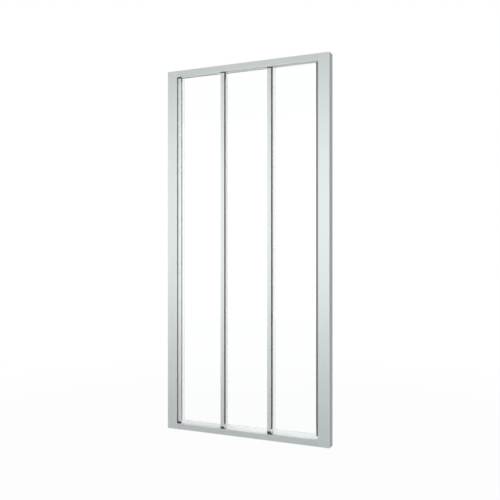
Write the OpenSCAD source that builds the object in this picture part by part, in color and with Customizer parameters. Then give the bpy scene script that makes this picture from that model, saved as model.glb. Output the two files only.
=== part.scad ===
// Sliding shower door: a frame for an alcove with three glazed panels. The right panel is
// fixed. The middle and the leading panel hang on rollers in the header, each in a lane of its
// own, and slide to the right until all three stand one behind the other.
// The origin is the middle of the footprint, on the floor. +X is to the right as seen from the
// room, +Y goes into the shower and +Z is up. The door is drawn closed.

/* [Frame] */
// Width from wall to wall
overall_w = 900; // [760:10:1200]
// Height over the frame
overall_h = 1880; // [1700:10:2100]
// Front width of a jamb
jamb_w = 57; // [52:1:70]
// Wall of the jambs and of the wall channels
jamb_t = 1.5; // [1.3:0.1:1.8]
// Radius of a jamb's edges at the wall
jamb_r = 4; // [3:0.5:5]
// Distance of a jamb's inner web from the wall
jamb_web_x = 38; // [34:1:40]
// Front height of the header
header_h = 32; // [31:0.5:36]
// Front height of the sill
sill_h = 30; // [28:0.5:32]
// Depth of the leg of a wall channel
channel_leg = 32; // [28:1:33]

/* [Lanes] */
// Depth of the hollow in front of the first lane, both its walls included
chamber_d = 8.9; // [8.5:0.1:10]
// Clear width of a lane
lane_w = 12.3; // [12:0.1:14]
// Wall between two lanes of the header
web_t = 1.2; // [1:0.1:1.6]
// Front wall of header and sill
front_t = 1.5; // [1.3:0.1:1.8]
// Rear wall of header and sill
rear_t = 1.8; // [1.5:0.1:2.5]
// Top wall of the header
top_t = 2; // [1.5:0.1:2.5]
// Roller shelf thickness
shelf_t = 1.5; // [1.2:0.1:2]
// Width of the rib that keeps a roller in line
rail_rib_w = 1.2; // [1:0.1:1.4]
// Height of the rib that keeps a roller in line
rail_rib_h = 0.8; // [0.5:0.1:0.9]
// Height of the sill's floor
floor_z = 13; // [12:0.5:14]
// Height of the guide ribs above the sill's floor
guide_rib_h = 7; // [5:0.5:8]
// Width of a guide rib
guide_rib_w = 2.4; // [2:0.1:2.8]
// How far the sill's rear upstand rises above its front lip
upstand_h = 4; // [2:0.5:6]
// Length of a drain slot
drain_l = 24; // [12:1:40]
// Height of a drain slot
drain_h = 4; // [3:0.5:5]

/* [Panels] */
// Front width of a stile, which is also the overlap of two panels
stile_w = 21.5; // [20:0.5:26]
// Height of the top rails
top_rail_h = 12.5; // [12:0.1:14]
// Height of the bottom rails
low_rail_h = 27; // [25:0.5:30]
// Wall of the stile and rail profiles
profile_t = 1.2; // [1:0.1:1.4]
// Radius of the long edges of stiles and rails
edge_r = 0.8; // [0.5:0.1:1]
// Depth of the glazing groove
groove_d = 6; // [5.5:0.1:6.2]
// Glass thickness
glass_t = 4; // [3:0.5:5]
// How far the glass reaches into the groove
glass_bite = 4.8; // [4:0.1:5]
// Width of the clear glazing bead
bead_w = 12; // [8:0.5:16]
// Height of the dark block above a stile
top_block_h = 12; // [11:0.5:14]
// Height of the dark block below a stile
low_block_h = 18; // [16:0.5:20]
// Length of a block's tongue inside its stile
tongue_h = 14; // [8:1:24]
// Gap between the closed leading panel and the left jamb
closing_gap = 2; // [1.8:0.1:3]
// Length of the buffers that end the middle panel's travel
buffer_l = 20; // [12:0.5:22]
// Width of a hook between two overlapped stiles
hook_w = 1.5; // [1.2:0.1:2]
// Width of a soft seal strip
seal_w = 4; // [3:0.5:6]

/* [Rollers] */
// Roller diameter
wheel_d = 18; // [16:0.5:18.5]
// Roller width
wheel_w = 5; // [4:0.1:5.2]
// Bearing outer diameter
bearing_d = 10; // [8:0.5:11]
// Axle diameter
axle_d = 4; // [3:0.1:5]
// Hanger plate thickness
plate_t = 1.5; // [1.2:0.1:1.6]
// Distance of the hanger plate's sides from the stile's sides
plate_inset = 2.25; // [1.8:0.05:3.5]
// Distance of the hanger plate from the panel's front
plate_y = 1.6; // [1.4:0.1:1.7]

/* [Screws] */
// Hole for a wall screw in the wall channel
wall_hole_d = 5.5; // [4:0.1:7]
// Distance between neighbouring wall screws
wall_pitch = 540; // [400:10:550]
// Shank of the corner and jamb screws
screw_d = 3.2; // [2.8:0.1:3.4]
// Head of the corner and jamb screws
screw_head_d = 5.8; // [5:0.1:5.8]
// Distance between neighbouring jamb screws
jamb_pitch = 760; // [500:10:780]
// Shank of the small screws in the panels
pin_d = 2.4; // [2:0.1:2.5]
// Head of the small screws in the panels
pin_head_d = 4.4; // [4:0.1:4.8]

/* [Clearances] */
// Gap on each side between a panel and its lane
side_gap = 0.45; // [0.35:0.05:0.6]
// Gap between seated pieces of one group
fit_gap = 0.05; // [0.02:0.01:0.1]
// Gap between pieces that pass each other
pass_gap = 0.4; // [0.3:0.05:0.5]
// Radial gap between an axle and its bearing
axle_gap = 0.05; // [0.02:0.01:0.1]
// Gap between a roller and its shelf
roll_gap = 0.2; // [0.1:0.05:0.3]
// Gap between a stop and what it stops
stop_gap = 0.3; // [0.2:0.05:0.5]

/* [Hidden] */
$fn = 64;
cut = 1; // overshoot of a cut past a face
frame_d = chamber_d + 3 * lane_w + 2 * web_t + rear_t;
front_y = -frame_d / 2;
rear_y = frame_d / 2;
opening_w = overall_w - 2 * jamb_w;
open_left = -opening_w / 2;
open_right = opening_w / 2;
header_z = overall_h - header_h;
lane_pitch = lane_w + web_t;

// Panels: 0 is the leading one, 1 the middle one and 2 the fixed one
panel_d = lane_w - 2 * side_gap;
panel_pitch = (opening_w - stile_w) / 3;
function lane_y(i) = front_y + chamber_d + i * lane_pitch;
function panel_y(i) = lane_y(i) + side_gap;
function panel_x(i) = open_left + i * panel_pitch + (i == 0 ? closing_gap : 0);
function panel_w(i) = panel_pitch + stile_w - (i == 0 ? closing_gap : 0);
// Travel of the middle panel, and of the leading panel along it
travel = panel_pitch - buffer_l - stop_gap;

// Rollers hang under the header's top wall
wheel_r = wheel_d / 2;
wheel_top_gap = 1;
wheel_z = overall_h - top_t - wheel_top_gap - wheel_r;
shelf_z = wheel_z - wheel_r - roll_gap;
shelf_drop = 2.3; // from the shelf's underside down to the panel
panel_top = shelf_z - shelf_t - shelf_drop;
stile_top = panel_top - top_block_h;
rib_gap = 2; // from a guide rib up to the panel
panel_low = floor_z + guide_rib_h + rib_gap;
stile_low = panel_low + low_block_h;
fixed_top = shelf_z - shelf_t; // top of the fixed panel's stiles, inside the header
ledge_gap = 0.4; // above the fixed panel
ledge_w = 3;

// Profiles of stiles and rails
groove_w = panel_d - 2 * profile_t;
glass_y = (panel_d - glass_t) / 2;
gasket_out = groove_w - 2 * fit_gap;
bead_edge = 1; // thickness of the glazing bead's thin side
gasket_lip_w = 2; // of the fixed pane's gasket, seen in front of the glass
gasket_lip_y = 1.8;
stile_chamber_w = stile_w - groove_d - 2 * profile_t;
function chamber_h(rail_h) = rail_h - groove_d - 2 * profile_t;
function port_in(rail_h) = profile_t + chamber_h(rail_h) / 2; // from the rail's outer face
port_wall = 1.6;
port_sink = 0.25; // of the top rail's screw port in the walls beside it
rail_port_d = chamber_h(top_rail_h) + 2 * port_sink;
top_port_z = panel_top - port_in(top_rail_h);
low_port_z = panel_low + port_in(low_rail_h);
glass_from = panel_low + low_rail_h; // lower and upper edge of what shows of the glass
glass_to = panel_top - top_rail_h;
lane_gap = 2 * side_gap + web_t; // between the panels of two lanes
hook_d = lane_gap - pass_gap;
hook_low = stile_low;
hook_drop = 5; // of the hooks' upper end below the header
seal_lift = 3; // of the magnet seal's lower end above the sill's lip
hook_high = header_z - hook_drop;
seal_low = sill_h + seal_lift;
seal_high = hook_high;
front_hook_x = 0.6; // from the stile's left side
rear_hook_x = front_hook_x + hook_w + stop_gap;
lug_w = 6;
lug_h = 24;
lug_inset = 20; // from the end of the hooks
buffer_h = 8;
buffer_d = 9;

// Guide legs of the low blocks, on both sides of the sill's rib
leg_w = 15;
leg_t = 2.6;
leg_gap = 2; // from the legs down to the sill's floor

// Hanger, axle and roller, from the panel's front face
plate_w = stile_w - 2 * plate_inset;
plate_round_d = plate_w - 2; // of the plate's round end
shoulder_t = 1;
run_gap = 0.2;
axle_head_t = 0.8;
shoulder_y = plate_y + plate_t;
wheel_y = shoulder_y + shoulder_t + run_gap;
head_y = wheel_y + wheel_w + run_gap;
shelf_in = 0.6; // of the shelf's front edge, behind the hanger plate
plate_lift = 1.3; // of the plate's lower edge above the stile
pin_lift = 5; // of the clamping screw above the stile
shelf_front = shoulder_y + shelf_in;
plate_low = stile_top + plate_lift;
hanger_pin_z = stile_top + pin_lift;
rivet_t = 0.7;
rivet_d = axle_d + 2;
collar_d = axle_d + 2.4;
groove_x = stile_w - groove_d; // start of the glazing groove, from the stile's outer side
groove_top = glass_to + groove_d; // end of the groove in a top block

// Holes of screws are wider than the screw
free_play = 0.4; // where it passes
snug_play = 0.2; // where it is led, and round its head
thread_play = 0.1; // where it holds
head_t = 1.5; // heads of the corner screws, and depth of the small screws' head holes
low_head_t = head_t - 0.1;

// Screw ports of header and sill
port_d = screw_d + snug_play;
port_boss_d = 6.8;
rear_port_in = 4.6; // from the rear face
rear_port_drop = 10; // from the header's top
port_front_y = front_y + (chamber_d + front_t - web_t) / 2;
port_rear_y = rear_y - rear_port_in;
header_port_front_z = overall_h - header_h / 2;
header_port_rear_z = overall_h - rear_port_drop;
sill_port_z = 5;
screw_grip = 18; // length of a screw inside its port
pin_grip = 4; // length of a rail screw inside its rail
stile_grip = 6; // length of a fixing screw inside the fixed panel's stile

// Recess for the jamb screws in the jamb's rear wall
recess_x = 12;
recess_w = 16;
recess_d = 2.6;
strip_t = 1;
jamb_screw_x = recess_x + recess_w / 2;
jamb_screw_l = 8;
lip_gap = 0.3;
channel_drop = 3; // from the jamb's top to the wall channel's

// Hollows under the sill's floor
sill_wall = 1.5;
sill_cell_w = (frame_d - front_t - rear_t - 2 * sill_wall) / 3;

// Caps in the tops of the jambs
cap_t = 2.5;

// Groove of the magnet seal in the left jamb
magnet_w = 8;
magnet_d = 3;
magnet_proud = 0.6;
stile_magnet_w = 5;
stile_magnet_proud = 1;

aluminium = [0.78, 0.8, 0.8];
steel = [0.62, 0.64, 0.66];
clear = [0.86, 0.95, 0.93, 0.35];
dark_plastic = [0.2, 0.23, 0.23];
grey_rubber = [0.4, 0.42, 0.43];
grey_vinyl = [0.45, 0.46, 0.46];
white_plastic = [0.88, 0.9, 0.9];

// Helpers

module along_x(x, length) translate([x, 0, 0]) rotate([90, 0, 90]) linear_extrude(length) children();

module along_z(low, high) translate([0, 0, low]) linear_extrude(high - low) children();

module bar_x(x, y, z, d, length) translate([x, y, z]) rotate([0, 90, 0]) cylinder(d = d, h = length);

module bar_y(x, y, z, d, length) translate([x, y, z]) rotate([-90, 0, 0]) cylinder(d = d, h = length);

module soft_square(w, d, r) {
    translate([r, 0])
        square([w - 2 * r, d]);
    translate([0, r])
        square([w, d - 2 * r]);
    for (x = [r, w - r], y = [r, d - r])
        translate([x, y])
            circle(r);
}

module at_panel(i) translate([panel_x(i), panel_y(i), 0]) children();

// The right jamb and the right wall channel mirror the left ones
module right_side() mirror([1, 0, 0]) children();

// Jambs and what joins them to the wall

function wall_screw_z(k) = overall_h / 2 + (k - 1.5) * wall_pitch;
function jamb_screw_z(k) = overall_h / 2 + (k - 1) * jamb_pitch;

// Outline of a left jamb in plan, from the wall at x = 0
module jamb_outline() {
    difference() {
        union() {
            soft_square(jamb_w / 2, frame_d, jamb_r);
            translate([jamb_w / 2 - jamb_r - cut, 0])
                soft_square(jamb_w / 2 + jamb_r + cut, frame_d, edge_r);
        }
        union() {
            translate([jamb_t, jamb_t])
                soft_square(jamb_web_x - jamb_t, frame_d - 2 * jamb_t, jamb_r - jamb_t);
            translate([jamb_r, jamb_t])
                square([jamb_web_x - jamb_r, frame_d - 2 * jamb_t]);
            translate([-cut, jamb_r])
                square([jamb_web_x, frame_d - 2 * jamb_r]);
            translate([jamb_web_x + jamb_t, jamb_t])
                square([jamb_w - jamb_web_x - 2 * jamb_t, frame_d - 2 * jamb_t]);
        }
    }
    // Step in the rear wall that holds the screw heads
    translate([recess_x - jamb_t, frame_d - recess_d - jamb_t])
        square([recess_w + 2 * jamb_t, recess_d + jamb_t]);
}

module jamb_recess() {
    translate([recess_x, frame_d - recess_d])
        square([recess_w, recess_d + cut]);
}

// Pocket for the magnet seal, behind the jamb's inner face
module magnet_pocket(extra) {
    translate([jamb_w - magnet_d - extra, chamber_d + lane_w / 2 - magnet_w / 2 - extra])
        square([magnet_d + extra, magnet_w + 2 * extra]);
}

module jamb(with_magnet) {
    difference() {
        along_z(0, overall_h)
            difference() {
                union() {
                    jamb_outline();
                    if (with_magnet)
                        magnet_pocket(jamb_t);
                }
                jamb_recess();
                if (with_magnet)
                    translate([fit_gap, 0])
                        magnet_pocket(0);
            }
        for (k = [0 : 2])
            bar_y(jamb_screw_x, frame_d - recess_d - jamb_t - cut, jamb_screw_z(k),
                screw_d + free_play, jamb_t + 2 * cut);
        for (p = corner_screw_points)
            corner_screw_holes(p);
        if (!with_magnet)
            for (k = [0 : 2])
                stile_screw_holes(jamb_screw_z(k));
    }
}

// Places of the corner screws as [y from the front, z]
corner_screw_points = [
    [port_front_y - front_y, sill_port_z],
    [port_rear_y - front_y, sill_port_z],
    [port_front_y - front_y, header_port_front_z],
    [port_rear_y - front_y, header_port_rear_z]
];

module corner_screw_holes(p) {
    bar_x(jamb_w - jamb_t - cut, p[0], p[1], screw_d + free_play, jamb_t + 2 * cut);
    bar_x(jamb_web_x - cut, p[0], p[1], screw_head_d + snug_play, jamb_t + 2 * cut);
}

stile_screw_y = chamber_d + 2 * lane_pitch + lane_w / 2;

module stile_screw_holes(z) {
    bar_x(jamb_w - jamb_t - cut, stile_screw_y, z, screw_d + free_play, jamb_t + 2 * cut);
    bar_x(jamb_web_x - cut, stile_screw_y, z, screw_head_d + snug_play, jamb_t + 2 * cut);
}

module left_jamb() color(aluminium) translate([-overall_w / 2, front_y, 0]) jamb(true);

module right_jamb() color(aluminium) right_side() translate([-overall_w / 2, front_y, 0]) jamb(false);

channel_out_y = jamb_r + lip_gap; // outer face of a leg, from the jamb's front
channel_top = overall_h - channel_drop;

module wall_channel() {
    difference() {
        along_z(0, channel_top)
            difference() {
                translate([0, channel_out_y])
                    square([channel_leg, frame_d - 2 * channel_out_y]);
                translate([jamb_t, channel_out_y + jamb_t])
                    square([channel_leg, frame_d - 2 * channel_out_y - 2 * jamb_t]);
            }
        for (k = [0 : 3])
            bar_x(-cut, frame_d / 2, wall_screw_z(k), wall_hole_d, jamb_t + 2 * cut);
        for (k = [0 : 2])
            bar_y(jamb_screw_x, frame_d - channel_out_y - jamb_t - cut, jamb_screw_z(k),
                screw_d + thread_play, jamb_t + 2 * cut);
    }
}

module left_wall_channel() color(aluminium) translate([-overall_w / 2, front_y, 0]) wall_channel();

module right_wall_channel()
    color(aluminium) right_side() translate([-overall_w / 2, front_y, 0]) wall_channel();

// A pan-head screw along +X from the underside of its head, with a cross recess
module pan_screw(d, head_d, head_h, length) {
    difference() {
        union() {
            bar_x(-head_h, 0, 0, head_d, head_h);
            bar_x(0, 0, 0, d, length);
        }
        translate([-head_h - cut, -head_d / 3, -head_d / 16])
            cube([head_h / 2 + cut, head_d * 2 / 3, head_d / 8]);
        translate([-head_h - cut, -head_d / 16, -head_d / 3])
            cube([head_h / 2 + cut, head_d / 8, head_d * 2 / 3]);
    }
}

module corner_screw_side() {
    for (p = corner_screw_points)
        translate([-overall_w / 2 + jamb_w - jamb_t, front_y + p[0], p[1]])
            pan_screw(screw_d, screw_head_d, head_t, jamb_t + screw_grip);
}

module corner_screws() {
    color(steel) {
        corner_screw_side();
        right_side()
            corner_screw_side();
    }
}

module jamb_screw_side() {
    for (k = [0 : 2])
        translate([-overall_w / 2 + jamb_screw_x, rear_y - recess_d, jamb_screw_z(k)])
            rotate([0, 0, -90])
                pan_screw(screw_d, screw_head_d, low_head_t, jamb_screw_l);
}

module jamb_screws() {
    color(steel) {
        jamb_screw_side();
        right_side()
            jamb_screw_side();
    }
}

// A strip that snaps into the jamb's rear recess on two legs
module cover_strip() {
    along_z(0, overall_h)
        translate([recess_x + fit_gap, 0]) {
            translate([0, frame_d - strip_t])
                square([recess_w - 2 * fit_gap, strip_t]);
            for (x = [0, recess_w - 2 * fit_gap - strip_t])
                translate([x, frame_d - recess_d + fit_gap])
                    square([strip_t, recess_d - fit_gap]);
        }
}

module screw_cover_strips() {
    color(aluminium) {
        translate([-overall_w / 2, front_y, 0])
            cover_strip();
        right_side()
            translate([-overall_w / 2, front_y, 0])
                cover_strip();
    }
}

module cap_pair() {
    translate([-overall_w / 2, front_y, 0]) {
        // Over the open part, in front of and behind the recess step
        along_z(overall_h - cap_t, overall_h)
            difference() {
                translate([jamb_t + fit_gap, jamb_r])
                    square([jamb_web_x - jamb_t - 2 * fit_gap, frame_d - 2 * jamb_r]);
                translate([recess_x - jamb_t - fit_gap, frame_d - recess_d - jamb_t - fit_gap])
                    square([recess_w + 2 * (jamb_t + fit_gap), recess_d + jamb_t]);
            }
        // Over the closed part beside the opening
        along_z(overall_h - cap_t, overall_h)
            translate([jamb_web_x + jamb_t + fit_gap, jamb_t + fit_gap])
                square([
                    jamb_w - jamb_web_x - 3 * jamb_t - magnet_d - 2 * fit_gap,
                    frame_d - 2 * jamb_t - 2 * fit_gap
                ]);
    }
}

module jamb_top_caps() {
    color(grey_rubber) {
        cap_pair();
        right_side()
            cap_pair();
    }
}

module jamb_magnet_seal() {
    color(grey_rubber)
        translate([-overall_w / 2, front_y, 0])
            along_z(seal_low, seal_high)
                translate([jamb_w - magnet_d + 2 * fit_gap, chamber_d + (lane_w - magnet_w) / 2 + fit_gap])
                    square([magnet_d - 2 * fit_gap + magnet_proud, magnet_w - 2 * fit_gap]);
}

// Header and sill, as outlines over y and z

module header_outline() {
    difference() {
        translate([front_y, header_z])
            soft_square(frame_d, header_h, edge_r);
        // Front chamber
        translate([front_y + front_t, header_z + front_t])
            square([chamber_d - front_t - web_t, header_h - front_t - top_t]);
        // Lanes, open downwards
        for (i = [0 : 2])
            translate([lane_y(i), header_z - cut])
                square([lane_w, header_h - top_t + cut]);
    }
    // Roller shelves of the two sliding panels
    for (i = [0, 1]) {
        translate([panel_y(i) + shelf_front, shelf_z - shelf_t])
            square([lane_w - side_gap - shelf_front + web_t / 2, shelf_t]);
        translate([panel_y(i) + wheel_y + (wheel_w - rail_rib_w) / 2, shelf_z - shelf_t])
            square([rail_rib_w, shelf_t + rail_rib_h]);
    }
    // Ledge above the fixed glass
    translate([rear_y - rear_t - ledge_w, fixed_top + ledge_gap])
        square([ledge_w + rear_t / 2, shelf_t]);
    port_bosses([[port_front_y, header_port_front_z], [port_rear_y, header_port_rear_z]]);
}

module port_bosses(points) {
    for (p = points)
        translate(p)
            circle(d = port_boss_d);
}

module port_bores(points) {
    for (p = points)
        translate(p)
            circle(d = port_d);
}

module header_track() {
    color(aluminium)
        along_x(open_left, opening_w)
            difference() {
                intersection() {
                    header_outline();
                    translate([front_y, header_z])
                        square([frame_d, header_h]);
                }
                port_bores([[port_front_y, header_port_front_z], [port_rear_y, header_port_rear_z]]);
            }
}

module sill_outline() {
    difference() {
        union() {
            translate([front_y, 0])
                soft_square(frame_d, floor_z, edge_r);
            translate([front_y, floor_z / 2])
                soft_square(front_t, sill_h - floor_z / 2, front_t / 3);
            translate([rear_y - rear_t, floor_z / 2])
                soft_square(rear_t, sill_h + upstand_h - floor_z / 2, rear_t / 3);
        }
        // Three hollows under the floor
        for (k = [0 : 2])
            translate([
                front_y + front_t + k * (sill_cell_w + sill_wall),
                sill_wall
            ])
                square([sill_cell_w, floor_z - 2 * sill_wall]);
    }
    port_bosses([[port_front_y, sill_port_z], [port_rear_y, sill_port_z]]);
    // Guide ribs under the two sliding panels
    for (i = [0, 1])
        translate([lane_y(i) + (lane_w - guide_rib_w) / 2, floor_z - sill_wall])
            square([guide_rib_w, guide_rib_h + sill_wall]);
    // Two ribs that carry the fixed panel
    for (y = [profile_t, panel_d - 2 * profile_t])
        translate([panel_y(2) + y, floor_z - sill_wall])
            square([profile_t, panel_low - floor_z + sill_wall]);
}

module sill_track() {
    color(aluminium)
        difference() {
            along_x(open_left, opening_w)
                difference() {
                    sill_outline();
                    port_bores([[port_front_y, sill_port_z], [port_rear_y, sill_port_z]]);
                }
            // Drain slots through all the ribs and the rear upstand
            for (k = [-1 : 1])
                translate([k * opening_w / 3 - drain_l / 2, lane_y(0), floor_z])
                    cube([drain_l, rear_y + cut - lane_y(0), drain_h]);
        }
}

// White blocks in the middle lane, at the right jamb: one in the header, one in the sill
module track_buffers() {
    color(white_plastic) {
        translate([open_right - buffer_l, lane_y(1) + lane_w - buffer_d, shelf_z - shelf_t - buffer_h])
            cube([buffer_l - fit_gap, buffer_d, buffer_h]);
        difference() {
            translate([open_right - buffer_l, lane_y(1) + side_gap, floor_z])
                cube([buffer_l - fit_gap, panel_d, panel_low + buffer_h - floor_z]);
            translate([open_right - buffer_l - cut, lane_y(1) + (lane_w - guide_rib_w) / 2 - fit_gap,
                floor_z - cut])
                cube([buffer_l + 2 * cut, guide_rib_w + 2 * fit_gap, guide_rib_h + fit_gap + cut]);
        }
    }
}

// Profiles of a panel, in the panel's own corner

// Hollow stile in plan, with its glazing groove to the right
module stile_profile() {
    difference() {
        soft_square(stile_w, panel_d, edge_r);
        translate([profile_t, profile_t])
            square([stile_chamber_w, panel_d - 2 * profile_t]);
        translate([stile_w - groove_d, profile_t])
            square([groove_d + cut, groove_w]);
    }
}

module flip_x(w) translate([w, 0, 0]) mirror([1, 0, 0]) children();

// Rail over y and z, with its glazing groove upwards and a screw port on a web in its hollow
module rail_profile(rail_h) {
    difference() {
        union() {
            difference() {
                soft_square(panel_d, rail_h, edge_r);
                translate([profile_t, profile_t])
                    square([panel_d - 2 * profile_t, chamber_h(rail_h)]);
            }
            translate([panel_d / 2, port_in(rail_h)])
                circle(d = rail_port_d);
            translate([panel_d / 2 - port_wall / 2, profile_t / 2])
                square([port_wall, chamber_h(rail_h) + profile_t]);
        }
        translate([profile_t, rail_h - groove_d])
            square([groove_w, groove_d + cut]);
        translate([panel_d / 2, port_in(rail_h)])
            circle(d = pin_d + thread_play);
    }
}

// Bottom rails are polished bright
module bottom_rail(i) {
    at_panel(i)
        translate([0, 0, panel_low])
            along_x(stile_w, panel_w(i) - 2 * stile_w)
                rail_profile(low_rail_h);
}

// The fixed panel's bottom rail runs to the jamb, with a notch in which the right stile stands
module fixed_bottom_rail() {
    color(aluminium)
        at_panel(2)
            difference() {
                translate([0, 0, panel_low])
                    along_x(stile_w, panel_w(2) - stile_w - fit_gap)
                        rail_profile(low_rail_h);
                translate([panel_w(2) - stile_w - fit_gap, -cut, stile_low])
                    cube([stile_w + 2 * fit_gap, panel_d + 2 * cut, low_rail_h]);
            }
}

module top_rail(i) {
    at_panel(i)
        translate([0, panel_d, panel_top])
            rotate([180, 0, 0])
                along_x(stile_w, panel_w(i) - 2 * stile_w)
                    rail_profile(top_rail_h);
}

// Hook on the front of a left stile and on the rear of a right stile
module front_hook() {
    translate([front_hook_x, -hook_d])
        square([hook_w, hook_d + profile_t / 2]);
}

module rear_hook() {
    translate([rear_hook_x, panel_d - profile_t / 2])
        square([hook_w, hook_d + profile_t / 2]);
}

module left_stile(i, low, high) {
    at_panel(i)
        difference() {
            union() {
                along_z(low, high)
                    stile_profile();
                if (i > 0)
                    along_z(hook_low, hook_high)
                        front_hook();
            }
            if (i == 0)
                along_z(seal_low, seal_high)
                    translate([-cut, (panel_d - stile_magnet_w) / 2])
                        square([cut + profile_t + fit_gap, stile_magnet_w]);
        }
}

module right_stile(i, low, high) {
    at_panel(i)
        translate([panel_w(i) - stile_w, 0, 0]) {
            along_z(low, high)
                flip_x(stile_w)
                    stile_profile();
            if (i < 2)
                along_z(hook_low, hook_high)
                    rear_hook();
        }
}

// Glass pane between the grooves
function glass_low() = glass_from - glass_bite;
function glass_high(i) = i < 2 ? glass_to + glass_bite : fixed_top - gasket_base;
gasket_base = groove_d - glass_bite - fit_gap;

module glass(i) {
    color(clear)
        at_panel(i)
            translate([stile_w - glass_bite, glass_y, glass_low()])
                cube([panel_w(i) - 2 * (stile_w - glass_bite), glass_t, glass_high(i) - glass_low()]);
}

// Gasket that fills the groove round the edge of the pane, with a slot for the glass. The fixed
// pane's gasket has a lip along the right stile, on the front of the glass.
module glazing_gasket(i) {
    seat = glass_bite + gasket_base;
    outer_x = stile_w - seat;
    outer_w = panel_w(i) - 2 * outer_x;
    outer_low = glass_low() - gasket_base;
    outer_high = glass_high(i) + gasket_base;
    color(grey_rubber)
        at_panel(i) {
            if (i == 2)
                translate([panel_w(2) - stile_w - gasket_lip_w, gasket_lip_y, glass_from + fit_gap])
                    cube([
                        gasket_lip_w + fit_gap,
                        glass_y - fit_gap - gasket_lip_y,
                        fixed_top - glass_from - fit_gap
                    ]);
            difference() {
                translate([outer_x, (panel_d - gasket_out) / 2, outer_low])
                    cube([outer_w, gasket_out, outer_high - outer_low]);
                translate([stile_w, -cut, glass_from])
                    cube([
                        panel_w(i) - 2 * stile_w,
                        panel_d + 2 * cut,
                        glass_high(i) - glass_bite - glass_from
                    ]);
                translate([
                    stile_w - glass_bite - fit_gap,
                    glass_y - fit_gap,
                    glass_low() - fit_gap
                ])
                    cube([
                        panel_w(i) - 2 * (stile_w - glass_bite - fit_gap),
                        glass_t + 2 * fit_gap,
                        glass_high(i) - glass_low() + 2 * fit_gap
                    ]);
            }
        }
}

// Clear wedge in front of the glass, beside the left stile
module glazing_bead(i) {
    low = glass_from + fit_gap;
    high = min(glass_to, hook_high) - fit_gap;
    thick = glass_y - edge_r;
    color(clear)
        at_panel(i)
            along_z(low, high)
                translate([stile_w + fit_gap, glass_y - fit_gap])
                    polygon([[0, 0], [0, -thick], [bead_w / 4, -thick], [bead_w, -bead_edge], [bead_w, 0]]);
}

// Soft strip that closes the gap behind the right stile
module overlap_seal(i) {
    color(grey_rubber)
        at_panel(i)
            along_z(hook_low, hook_high)
                translate([panel_w(i) - stile_w / 2, panel_d + fit_gap])
                    square([seal_w, lane_gap - fit_gap - pass_gap]);
}

// Lugs behind the left stile that meet the next panel's hook at the end of the travel
module stop_lugs(i) {
    lug_x = panel_x(i + 1) + front_hook_x - travel - stop_gap - lug_w - panel_x(i);
    color(dark_plastic)
        at_panel(i)
            for (z = [hook_low + lug_inset, hook_high - lug_inset - lug_h])
                translate([lug_x, panel_d + fit_gap, z])
                    cube([lug_w, lane_gap - fit_gap - pass_gap, lug_h]);
}

// Dark block above a stile: it carries the hanger and the end screw of the top rail
module top_block() {
    difference() {
        union() {
            translate([fit_gap, 0, stile_top])
                cube([stile_w - 2 * fit_gap, panel_d, top_block_h]);
            translate([profile_t + fit_gap, profile_t + fit_gap, stile_top - tongue_h])
                cube([stile_chamber_w - 2 * fit_gap, groove_w - 2 * fit_gap, tongue_h + cut]);
        }
        hanger_plate(fit_gap);
        // End of the glazing groove, for the corner of the glass and its gasket
        translate([groove_x, profile_t, stile_top - cut])
            cube([groove_d + cut, groove_w, groove_top - stile_top + cut]);
        // Clamping screw of the hanger, from the rear
        bar_y(stile_w / 2, plate_y + plate_t - cut, hanger_pin_z, pin_d + thread_play, panel_d);
        bar_y(stile_w / 2, panel_d - head_t, hanger_pin_z, pin_head_d + snug_play, head_t + cut);
        // Rail screw, from the block's outer side
        bar_x(-cut, panel_d / 2, top_port_z, pin_d + snug_play, stile_w + 2 * cut);
        bar_x(-cut, panel_d / 2, top_port_z, pin_head_d + snug_play, head_t + cut);
    }
}

module top_blocks(i) {
    color(dark_plastic)
        at_panel(i) {
            top_block();
            flip_x(panel_w(i))
                top_block();
        }
}

// Dark block below a stile
module low_block() {
    difference() {
        union() {
            translate([fit_gap, 0, panel_low])
                cube([stile_w - 2 * fit_gap, panel_d, low_block_h]);
            translate([profile_t + fit_gap, profile_t + fit_gap, stile_low - cut])
                cube([stile_chamber_w - 2 * fit_gap, groove_w - 2 * fit_gap, tongue_h + cut]);
        }
        bar_x(-cut, panel_d / 2, low_port_z, pin_d + snug_play, stile_w + 2 * cut);
        bar_x(-cut, panel_d / 2, low_port_z, pin_head_d + snug_play, head_t + cut);
    }
}

// Two legs of a guide block, one on each side of the sill's rib
module guide_legs() {
    for (side = [-1, 1])
        translate([
            (stile_w - leg_w) / 2,
            panel_d / 2 + side * (guide_rib_w / 2 + pass_gap + leg_t / 2) - leg_t / 2,
            floor_z + leg_gap
        ])
            cube([leg_w, leg_t, panel_low - floor_z - leg_gap + cut]);
}

module guide_blocks(i) {
    color(dark_plastic)
        at_panel(i) {
            low_block();
            guide_legs();
            flip_x(panel_w(i)) {
                low_block();
                guide_legs();
            }
        }
}

module fixed_corner_block() color(dark_plastic) at_panel(2) low_block();

// Screw through a block into a rail
module rail_screw(z) {
    translate([head_t, panel_d / 2, z])
        pan_screw(pin_d, pin_head_d, low_head_t, stile_w + pin_grip);
}

module rail_screws(i) {
    color(steel)
        both_ends(i)
            for (z = [low_port_z, top_port_z])
                rail_screw(z);
}

// Screws of the fixed panel: one in its rail and three through the right jamb into its stile
module fixed_panel_screws() {
    color(steel) {
        at_panel(2)
            rail_screw(low_port_z);
        right_side()
            for (k = [0 : 2])
                translate([-overall_w / 2 + jamb_w - jamb_t, front_y + stile_screw_y, jamb_screw_z(k)])
                    pan_screw(screw_d, screw_head_d, head_t, jamb_t + profile_t + stile_grip);
    }
}

// Grey vinyl profile that holds the fixed pane at the right jamb
module fixed_right_stile() {
    color(grey_vinyl)
        difference() {
            right_stile(2, stile_low, fixed_top);
            for (k = [0 : 2])
                bar_x(open_right - profile_t - cut, front_y + stile_screw_y, jamb_screw_z(k),
                    screw_d + thread_play, profile_t + 2 * cut);
        }
}

// Hanging gear above a block

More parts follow.
